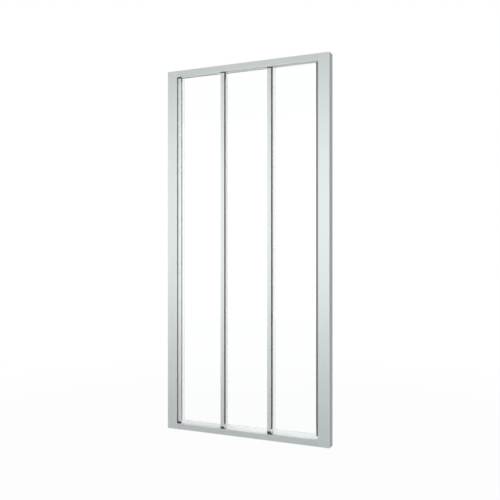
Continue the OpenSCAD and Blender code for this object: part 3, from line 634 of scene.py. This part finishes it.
low, high = box_mm("leading_left_stile")
left, right, top, front = low[0], high[0], high[2], low[1]
middle, edge = (left + right) / 2, right + CAP_OVER
quarter = [k * math.pi / 8 for k in range(5)]
inner = [(edge - TAIL_W - TAIL_R + TAIL_R * math.sin(angle),
          top - CAP_DROP - TAIL_R + TAIL_R * math.cos(angle)) for angle in quarter]
bend = [(left + CAP_START, top + CAP_RISE), (left + CAP_START, top - CAP_DROP), *inner,
        (edge - TAIL_W, top - TAIL_L + TAIL_POINT), (edge - TAIL_W / 2, top - TAIL_L),
        (edge, top - TAIL_L + TAIL_POINT), (edge, top + CAP_RISE - CAP_CORNER),
        (edge - CAP_CORNER, top + CAP_RISE)]
rings = [[(x + (in_x if x < middle else -in_x), front + y, z - in_z if z > top else z)
          for x, z in bend] for y, in_x, in_z in LAYERS]
loft("leading_corner_cap", rings, dark_plastic, "leading_panel")
print("corner cap with a tail of", TAIL_L, "mm")

# %% [markdown]
# ## The polished nose and the painted shade inlay
# On the same stile a narrow band beside the glass is polished, where it is gripped, and a soft
# inlay, near black as painted shade, runs next to it. Both stand a quarter of a millimetre
# proud.
# They could be painted on as a stripe, but a thin raised band catches the light as the real one
# does.

# %% Add the nose and the inlay
BAND_LOW = 41.0  # height at which both begin
BAND_CROWN = ((0.0, -0.1), (0.0, 0.05), (0.4, 0.25))
NOSE_FROM, INLAY_FROM, INLAY_TO = 10.2, 4.6, 2.2  # from the stile's glass side
NOSE_GAP = 0.1


def face_band(name, start, end, finish):
    """A thin band with rounded long edges on the front of the closing stile."""
    band = [(x, front - rise) for x, rise in crowned(start, end, BAND_CROWN)]
    loft(name, upright(band, BAND_LOW, top - TAIL_L), finish, "leading_panel")


face_band("leading_polished_nose", right - NOSE_FROM, right - INLAY_FROM - NOSE_GAP,
          nose_polish)
# the inlay's near-black vinyl paints the shade beside the glass
face_band("leading_painted_shade_inlay", right - INLAY_FROM, right - INLAY_TO, painted_shade_vinyl)
print("bands from", BAND_LOW, "to", top - TAIL_L, "mm")

# %% [markdown]
# ## The clear bead in front of the glass
# A bead of clear soft vinyl is pressed in beside the left stile of each pane. Its front is
# hollow, its free edge ends in a small round lip, and at both ends it flares round the corner
# of the pane. So its outline changes with height, which a plain extrusion can't do: the loft
# gets many rings, closest together where the flare bends most.

# %% Draw the bead
FLARE = 13.0  # the radius at both ends
FLARE_RINGS = 7
FLARE_STEPS = [FLARE * (k / FLARE_RINGS) ** 1.5 for k in range(FLARE_RINGS + 1)]
FOOT = 0.55  # from the stile to the bead


def flare_at(z, low, high):
    """How far the bead's edge moves out at a height, between its two ends."""
    short = FLARE - min(max(min(z - low, high - z), 0.0), FLARE)
    return FLARE - math.sqrt(FLARE ** 2 - short ** 2)


def bead_outline(wide, thick):
    """Places across the bead, with how far each stands in front of the glass."""
    return ((FOOT, 0.0), (FOOT, thick - 0.3), (FOOT + 0.3, thick), (2.4, thick),
            (3.4, thick - 0.4), (5.5, thick - 1.2), (wide - 3.0, 1.15), (wide - 1.3, 0.95),
            (wide - 1.1, 1.35), (wide - 0.6, 1.55), (wide - 0.15, 1.3), (wide, 0.8), (wide, 0.0))


print("a flare has rings at", [round(step, 1) for step in FLARE_STEPS], "mm")

# %% Press in the beads
EXTRA_WIDTH = {"leading": 4.0, "middle": 0.3, "fixed": 3.5}
LIP_W = 1.35
END_FACE = 0.9  # faces whose normal is steeper are the bead's ends

for panel in (*PANELS, "fixed"):
    body = "frame" if panel == "fixed" else panel + "_panel"
    low, high = box_mm(panel + "_glazing_bead")
    wide, thick = high[0] - low[0] + EXTRA_WIDTH[panel], high[1] - low[1]
    heights = ([low[2] + step for step in FLARE_STEPS]
               + [high[2] - step for step in reversed(FLARE_STEPS)])
    rings = [[(low[0] + across, high[1] - rise, z) for across, rise in bead_outline(
        wide + flare_at(z, low[2], high[2]), thick)] for z in heights]
    bead = loft(panel + "_clear_bead", rings, clear_bead, body)
    bead.data.materials.append(bead_lip_painted_shade)
    for face in bead.data.polygons:
        flare = flare_at(face.center.z / MM, low[2], high[2])
        on_lip = face.center.x / MM - low[0] > wide + flare - LIP_W
        if on_lip and abs(face.normal.z) < END_FACE:
            face.material_index = 1
    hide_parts(panel + "_glazing_bead")
print("three beads with lips")

# %% [markdown]
# ## Magnet seals
# The door is held shut by two magnet strips that face each other. Each sits in a sleeve of
# soft vinyl: the jamb's has a lip that lies along the jamb's face, the stile's has a crowned
# nose. Both are extruded, so one outline each is enough.

# %% Sleeve the jamb's magnet
FACE_DEPTH = 0.6  # from the sleeve's nose back to the jamb's inner face
LIP_EDGE, LIP_TIP = 4.6, 4.9  # how far the lip reaches along that face

low, high = box_mm("jamb_magnet_seal")
back, nose, y0, y1 = low[0], high[0], low[1], high[1]
face, middle = nose - FACE_DEPTH, (y0 + y1) / 2
sleeve = [(back, y0), (face, y0), (face, y0 - LIP_EDGE), (face + 0.25, y0 - LIP_TIP),
          (face + 0.5, y0 - LIP_EDGE), (nose - 0.05, y0 + 0.4), (nose, y0 + 1.4),
          (nose - 0.15, middle - 0.8), (nose - 0.35, middle), (nose - 0.15, middle + 0.8),
          (nose, y1 - 1.4), (nose - 0.1, y1 - 0.3), (face, y1), (back, y1), (back, y1 - 1.5),
          (back + 0.3, y1 - 1.8), (back + 0.3, y0 + 1.8), (back, y0 + 1.5)]
seal = loft("jamb_magnet_sleeve", upright(sleeve, low[2], high[2]), magnet_strip, "frame")
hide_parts("jamb_magnet_seal")
print("the jamb's sleeve stands", FACE_DEPTH, "mm proud")

# %% Sleeve the stile's magnet
low, high = box_mm("leading_magnet_seal")
nose, back, y0, y1 = low[0], high[0], low[1], high[1]
middle = (y0 + y1) / 2
sleeve = [(back, y0 + 0.3), (back, y1 - 0.3), (back - 0.5, y1), (nose + 0.7, y1),
          (nose + 0.5, y1 - 0.35), (nose + 0.25, y1 - 0.1), (nose + 0.05, y1 - 0.9),
          (nose, middle), (nose + 0.05, y0 + 0.9), (nose + 0.25, y0 + 0.1),
          (nose + 0.5, y0 + 0.35), (nose + 0.7, y0), (back - 0.5, y0)]
seal = loft("leading_magnet_sleeve", upright(sleeve, low[2], high[2]), magnet_strip,
            "leading_panel")
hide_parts("leading_magnet_seal")
print("the stile's sleeve is", round(y1 - y0, 2), "mm wide")

# %% [markdown]
# ## Brush seals
# The gap behind each right stile is closed by a brush: a woven backing with rows of pile. Hair
# particles would be lost in an export, so each tuft is a small tapered prism, leaning a little
# at random. The draws come from one seeded generator, so the brush is the same every time.

# %% Draw and close an outline
def rounded(x0, y0, x1, y1, radius, turns):
    """A rectangle with round corners, as a list of points."""
    points = []
    for cx, cy, start in ((x1 - radius, y1 - radius, 0), (x0 + radius, y1 - radius, 1),
                          (x0 + radius, y0 + radius, 2), (x1 - radius, y0 + radius, 3)):
        for k in range(turns + 1):
            angle = (start + k / turns) * math.pi / 2
            points.append((cx + radius * math.cos(angle), cy + radius * math.sin(angle)))
    return points


def close_up(work, first, last):
    """Add the faces round two rings of corners, and over both ends."""
    for i, corner in enumerate(first):
        j = (i + 1) % len(first)
        work.faces.new((corner, first[j], last[j], last[i]))
    work.faces.new(list(reversed(first)))
    work.faces.new(last)


print("a rounded outline has", len(rounded(0.0, 0.0, 4.0, 2.0, 0.5, 2)), "points")

# %% Shape a tuft
TUFT_FOOT, TUFT_TIP = (0.5, 1.1), (0.25, 0.7)  # half sizes over X and Z


def corners(half_x, half_z):
    """The four corners of a rectangle round its middle."""
    return ((-half_x, -half_z), (half_x, -half_z), (half_x, half_z), (-half_x, half_z))


def plant_tuft(work, x, z, foot_y, tip_y, lean):
    """One tuft from its foot in the backing to its leaning tip."""
    foot = [work.verts.new(((x + a) * MM, foot_y * MM, (z + b) * MM))
            for a, b in corners(*TUFT_FOOT)]
    tip = [work.verts.new(((x + a + lean[0]) * MM, tip_y * MM, (z + b + lean[1]) * MM))
           for a, b in corners(*TUFT_TIP)]
    close_up(work, foot, tip)


print("a tuft has a foot of", 2 * TUFT_FOOT[0], "by", 2 * TUFT_FOOT[1], "mm")

# %% Plant the brush seals
TUFT_PITCH = 3.0
TUFT_ROWS = 3
ROW_INSET = 0.6  # from the backing's edge to the nearest row
BACKING = 0.45
BACKING_ROUND = 0.2
LEAN_X, LEAN_Z, UNEVEN = 0.25, 0.5, 0.2  # the most that a tip leans, or is short

brush_draw = random.Random(41)
for panel in PANELS:
    low, high = box_mm(panel + "_overlap_seal")
    mesh = bpy.data.meshes.new(panel + "_brush_seal")
    work = bmesh.new()
    back = rounded(low[0], low[1], high[0], low[1] + BACKING, BACKING_ROUND, 2)
    close_up(work, *([work.verts.new((x * MM, y * MM, z * MM)) for x, y in back]
                     for z in (low[2], high[2])))
    tufts = int((high[2] - low[2] - TUFT_PITCH) / TUFT_PITCH)
    row_gap = (high[0] - low[0] - 2 * ROW_INSET) / (TUFT_ROWS - 1)
    for row in range(TUFT_ROWS):
        for k in range(tufts):
            z = low[2] + (k + 0.75 + 0.5 * (row % 2)) * TUFT_PITCH
            x = low[0] + ROW_INSET + row * row_gap
            lean = [brush_draw.uniform(-LEAN_X, LEAN_X), brush_draw.uniform(-LEAN_Z, LEAN_Z)]
            tip_y = high[1] - brush_draw.uniform(0.0, UNEVEN)
            plant_tuft(work, x, z, low[1] + BACKING - 0.1, tip_y, lean)
    work.to_mesh(mesh)
    work.free()
    brush = place_piece(panel + "_brush_seal", mesh, pile_grey, panel + "_panel")
    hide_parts(panel + "_overlap_seal")
print(2 * TUFT_ROWS * tufts, "tufts planted")

# %% [markdown]
# ## Stop lugs
# The lugs behind each left stile meet the next panel's hook. They are small mouldings with
# round corners, each held by a rivet with a low head. A Bevel modifier on a box would round
# every edge alike; a loft keeps the foot sharp, where it sits on the stile, and draws in only
# the face.

# %% Draw a lug
LUG_TALL, LUG_ROUND, LUG_RIM = 24.0, 1.6, 0.5
RIM_START = 0.12  # drawn in at the rim's last third


def lug_rings(low, high, z0):
    """A lug's outline at four depths, drawn in towards its face."""
    shape = rounded(low[0], z0, high[0], z0 + LUG_TALL, LUG_ROUND, 4)
    middle_x, middle_z = (low[0] + high[0]) / 2, z0 + LUG_TALL / 2
    wide = (high[0] - low[0]) / 2
    depths = ((0.0, low[1]), (0.0, high[1] - LUG_RIM), (RIM_START, high[1] - LUG_RIM / 3),
              (LUG_RIM, high[1]))
    return [[(middle_x + (x - middle_x) * (1 - by / wide), y,
              middle_z + (z - middle_z) * (1 - 2 * by / LUG_TALL)) for x, z in shape]
            for by, y in depths]


print("a lug is", LUG_TALL, "mm tall")

# %% Mould the stop lugs
RIVET = ((1.7, -0.6), (1.7, 0.15), (1.3, 0.36), (0.6, 0.4))  # radius, and rise of each ring
RIVET_SUNK = 0.2
RIVET_ANGLES = [2 * math.pi * k / 16 for k in range(16)]

for panel in PANELS:
    low, high = box_mm(panel + "_stop_lugs")
    spots = (("low", low[2]), ("high", high[2] - LUG_TALL))
    for place, z0 in spots:
        lug = loft(f"{panel}_{place}_stop_lug", lug_rings(low, high, z0), dark_plastic,
                   panel + "_panel")
        if place == "low":
            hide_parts(panel + "_stop_lugs")
    for place, z0 in spots:
        x, y, z = (low[0] + high[0]) / 2, high[1] - RIVET_SUNK, z0 + LUG_TALL / 2
        rings = [[(x + radius * math.cos(angle), y + rise, z + radius * math.sin(angle))
                  for angle in RIVET_ANGLES] for radius, rise in RIVET]
        loft(f"{panel}_{place}_lug_rivet", rings, bright_steel, panel + "_panel")
print("four lugs with rivets")

# %% [markdown]
# ## Buffers
# The white buffers at the end of the middle lane stop the panel above and below. Two grooves
# near the nose let it give when it takes the knock. Grooves could be cut with booleans; here
# the loft runs along the lane, and its outline steps in and out. The lower buffer stands over
# the sill's guide rib, so its outline has a slot.

# %% Mould the buffers
RIB_DEPTH = 0.6
SLOT_LEFT, SLOT_RIGHT, SLOT_TOP = 2.3, 4.8, 20.05  # the slot over the sill's guide rib
UPPER_LOW, UPPER_HIGH = 1849.35, 1857.25
LOWER_LOW, LOWER_HIGH = 13.05, 29.95

low, high = box_mm("track_buffers")
CROSS = {  # outlines over Y and Z; the last two numbers say which way is inwards
    "upper": [(0.7, UPPER_LOW, 1, 1), (9.65, UPPER_LOW, -1, 1), (9.65, UPPER_HIGH, -1, 0),
              (0.7, UPPER_HIGH, 1, 0)],
    "lower": [(-2.1, LOWER_LOW, 1, 0), (SLOT_LEFT, LOWER_LOW, 0, 0), (SLOT_LEFT, SLOT_TOP, 0, 0),
              (SLOT_RIGHT, SLOT_TOP, 0, 0), (SLOT_RIGHT, LOWER_LOW, 0, 0),
              (9.2, LOWER_LOW, -1, 0), (9.2, LOWER_HIGH, -1, -1), (-2.1, LOWER_HIGH, 1, -1)],
}
STATIONS = [  # how far from the nose, and how far in
    (0.0, 0.9), (0.25, 0.4), (0.9, 0.0), (4.0, 0.0), (4.5, RIB_DEPTH), (6.0, RIB_DEPTH),
    (6.5, 0.0), (9.0, 0.0), (9.5, RIB_DEPTH), (11.0, RIB_DEPTH), (11.5, 0.0),
    (high[0] - low[0], 0.0)]

for place, cross in CROSS.items():
    rings = [[(low[0] + along, y + dy * by, z + dz * by) for y, z, dy, dz in cross]
             for along, by in STATIONS]
    buffer = loft(place + "_ribbed_buffer", rings, white_nylon, "frame")
    if place == "lower":
        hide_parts("track_buffers")
print("two ribbed buffers of", round(high[0] - low[0], 1), "mm")

# %% [markdown]
# ## Floor
# The photograph has no visible room: white all round. The floor is white where the camera, a
# reflection or the glass looks at it, and grey as a source of light, so the metal keeps its
# shape. Close to the door a small share stays plain, which leaves the door a faint shadow.

# %% Lay the floor
FLOOR_HALF = 60.0  # in metres

floor_mesh = bpy.data.meshes.new("floor")
floor_mesh.from_pydata(
    [(-FLOOR_HALF, -FLOOR_HALF, 0), (FLOOR_HALF, -FLOOR_HALF, 0),
     (FLOOR_HALF, FLOOR_HALF, 0), (-FLOOR_HALF, FLOOR_HALF, 0)], [], [(0, 1, 2, 3)])
floor = bpy.data.objects.new("floor", floor_mesh)
scene.collection.objects.link(floor)
print("floor of", 2 * FLOOR_HALF, "metres")

# %% Find out who looks
def seen_directly(tree):
    """1 where the camera, a reflection or glass looks, and 0 for plain lighting."""
    camera_ray = Wire.node(tree, "LightPath", output="Is Camera Ray")
    glossy_ray = Wire.node(tree, "LightPath", output="Is Glossy Ray")
    glass_ray = Wire.node(tree, "LightPath", output="Is Transmission Ray")
    return Wire.node(tree, "Clamp", inputs={"Value": camera_ray + glossy_ray + glass_ray})


print("camera, reflections and glass see white")

# %% Paint the floor
WHITE = (1, 1, 1, 1)
FLOOR_GREY = (0.35, 0.35, 0.35, 1)
SHADOW_NEAR, SHADOW_FAR = 0.8, 3.0  # in metres from the door
NEAR_WHITE = 0.972  # the share of white close to the door

floor_finish, tree = new_finish("pale_floor")
lit = Wire.node(tree, "BsdfDiffuse", inputs={"Color": FLOOR_GREY})
white = Wire.node(tree, "Emission", inputs={"Color": WHITE, "Strength": 1.0})
distance = Wire.node(tree, "VectorMath", {"operation": "LENGTH"},
                     {0: Wire.node(tree, "TexCoord", output="Object")}, output="Value")
near_share = Wire.node(
    tree, "MapRange", {"interpolation_type": "SMOOTHSTEP"},
    {"Value": distance, "From Min": SHADOW_NEAR, "From Max": SHADOW_FAR,
     "To Min": NEAR_WHITE, "To Max": 1.0})
finish_with(tree, mix_shaders(seen_directly(tree) * near_share, lit, white))
floor_mesh.materials.append(floor_finish)
print("the floor's shadow ends", SHADOW_FAR, "metres from the door")

# %% [markdown]
# ## Sky
# The sky works like the floor: white where something looks at it, and dimmer as light. A
# backdrop could do the same, but the world has no edge and needs no place behind the door.

# %% Make the sky
SKY_LIGHT = 0.3

sky = bpy.data.worlds.new("white_room")
scene.world = sky
sky.use_nodes = True
tree = sky.node_tree
tree.nodes.clear()
soft = Wire.node(tree, "Background", inputs={"Color": WHITE, "Strength": SKY_LIGHT})
bright = Wire.node(tree, "Background", inputs={"Color": WHITE, "Strength": 1.0})
shown = mix_shaders(seen_directly(tree), soft, bright)
Wire.node(tree, "OutputWorld", inputs={"Surface": shown})
print("sky gives", SKY_LIGHT, "as light")

# %% [markdown]
# ## Two soft lamps
# One soft lamp hangs in front of the door, a little above its middle, which makes the profiles
# brightest there and lets both ends fall off. A second one behind and to the left keeps the
# rear faces readable when the door is looked at from there; it can't reach the faces that the
# portrait shows. Wide rectangles are used, because a small lamp would draw hard shadows.

# %% Hang the lamps
LAMP_W, LAMP_H = 2.6, 1.4


def hang_lamp(name, place, aim, power):
    """A soft lamp that no camera and no pane sees."""
    light = bpy.data.lights.new(name, "AREA")
    light.shape = "RECTANGLE"
    light.size = LAMP_W
    light.size_y = LAMP_H
    light.energy = power
    lamp = bpy.data.objects.new(name, light)
    lamp.location = place
    lamp.rotation_euler = (aim - place).to_track_quat("-Z", "Y").to_euler()
    lamp.visible_camera = False
    lamp.visible_transmission = False
    scene.collection.objects.link(lamp)
    print(name, "of", power, "watts")


hang_lamp("soft_lamp", Vector((0.0, -1.25, 1.16)), Vector((0.0, 0.0, 1.16)), 18.4)
hang_lamp("rear_lamp", Vector((-0.9, 1.7, 1.2)), Vector((0.0, 0.0, 1.0)), 17.0)
